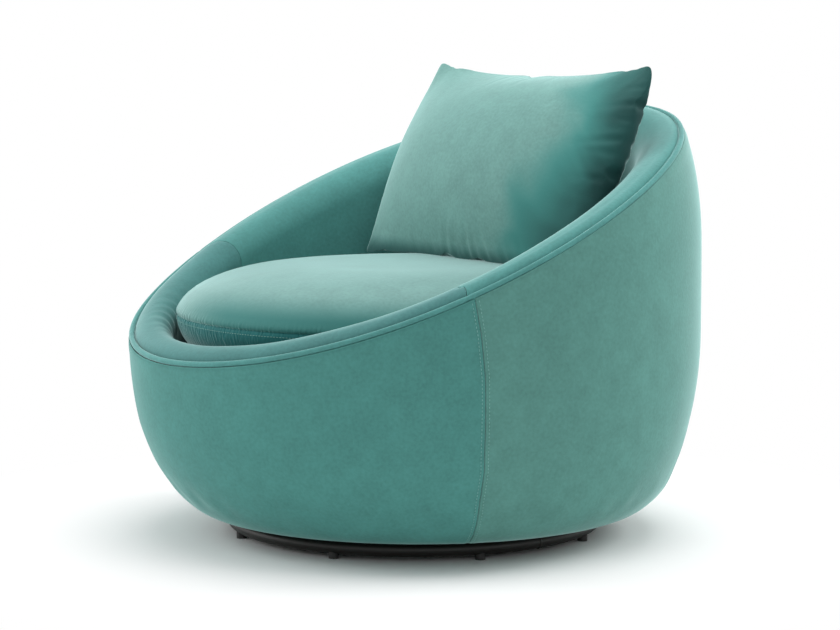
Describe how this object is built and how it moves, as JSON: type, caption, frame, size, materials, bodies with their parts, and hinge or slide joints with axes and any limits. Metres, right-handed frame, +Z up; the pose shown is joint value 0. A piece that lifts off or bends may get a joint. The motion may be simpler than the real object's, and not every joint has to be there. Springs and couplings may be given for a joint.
{
  "type": "swivel tub armchair",
  "caption": "Round velvet tub armchair with a slanted piped rim, loose round seat cushion and back pillow, turning on a ball swivel over a low steel ring base.",
  "frame": {"origin": "on the floor, on the swivel axis, at the centre of the ring base", "axes": "+Z up, -Y towards the front of the seat, +X to the sitter's left"},
  "size_m": [0.86, 0.8595, 0.7007],
  "materials": {
    "velvet": "matte",
    "black_steel": "satin",
    "zinc_steel": "satin",
    "black_plastic": "matte",
    "nylon": "satin",
    "plywood": "matte",
    "fibreboard": "matte",
    "foam": "matte",
    "webbing": "matte",
    "black_cloth": "matte"
  },
  "bodies": {
    "base": {"base_ring": "black_steel", "base_spokes": "black_steel", "hub_plate": "black_steel", "glides": "black_plastic", "swivel_lower_plate": "zinc_steel", "lower_plate_bolts": "zinc_steel", "lower_plate_nuts": "zinc_steel", "pivot_rivet": "zinc_steel"},
    "ball_ring": {"ball_cage": "black_plastic", "bearing_balls": "zinc_steel"},
    "tub": {"swivel_upper_plate": "zinc_steel", "pivot_washer": "nylon", "upper_plate_bolts": "zinc_steel", "tee_nuts": "zinc_steel", "bottom_board": "plywood", "dust_cover": "black_cloth", "frame_ribs": "plywood", "rim_hoop": "plywood", "seat_ring": "plywood", "seat_webbing": "webbing", "cross_webbing": "webbing", "deck_pad": "foam", "deck_cloth": "black_cloth", "outer_card": "fibreboard", "inner_card": "fibreboard", "outer_foam": "foam", "inner_foam": "foam", "outer_front_cover": "velvet", "outer_back_cover": "velvet", "inner_front_lining": "velvet", "inner_back_lining": "velvet", "rim_piping": "velvet"},
    "seat_cushion": {"seat_cushion_foam": "foam", "seat_cushion_top_cover": "velvet", "seat_cushion_bottom_cover": "velvet"},
    "back_pillow": {"back_pillow_fill": "foam", "back_pillow_front_cover": "velvet", "back_pillow_rear_cover": "velvet"}
  },
  "joints": [
    {"name": "swivel", "type": "hinge", "parent": "base", "child": "tub", "pos_m": [0, 0, 0.0288], "axis": [0, 0, 1], "continuous": true},
    {"name": "ball_ring_roll", "type": "hinge", "parent": "base", "child": "ball_ring", "pos_m": [0, 0, 0.0288], "axis": [0, 0, 1], "continuous": true},
    {"name": "seat_cushion_lift", "type": "slide", "parent": "tub", "child": "seat_cushion", "axis": [0, 0, 1], "range_m": [0, 0.25]},
    {"name": "back_pillow_lift", "type": "slide", "parent": "seat_cushion", "child": "back_pillow", "axis": [0, 0, 1], "range_m": [0, 0.3]}
  ],
  "couplings": [
    {"joint": "ball_ring_roll", "follows": "swivel", "ratio": 0.5}
  ]
}
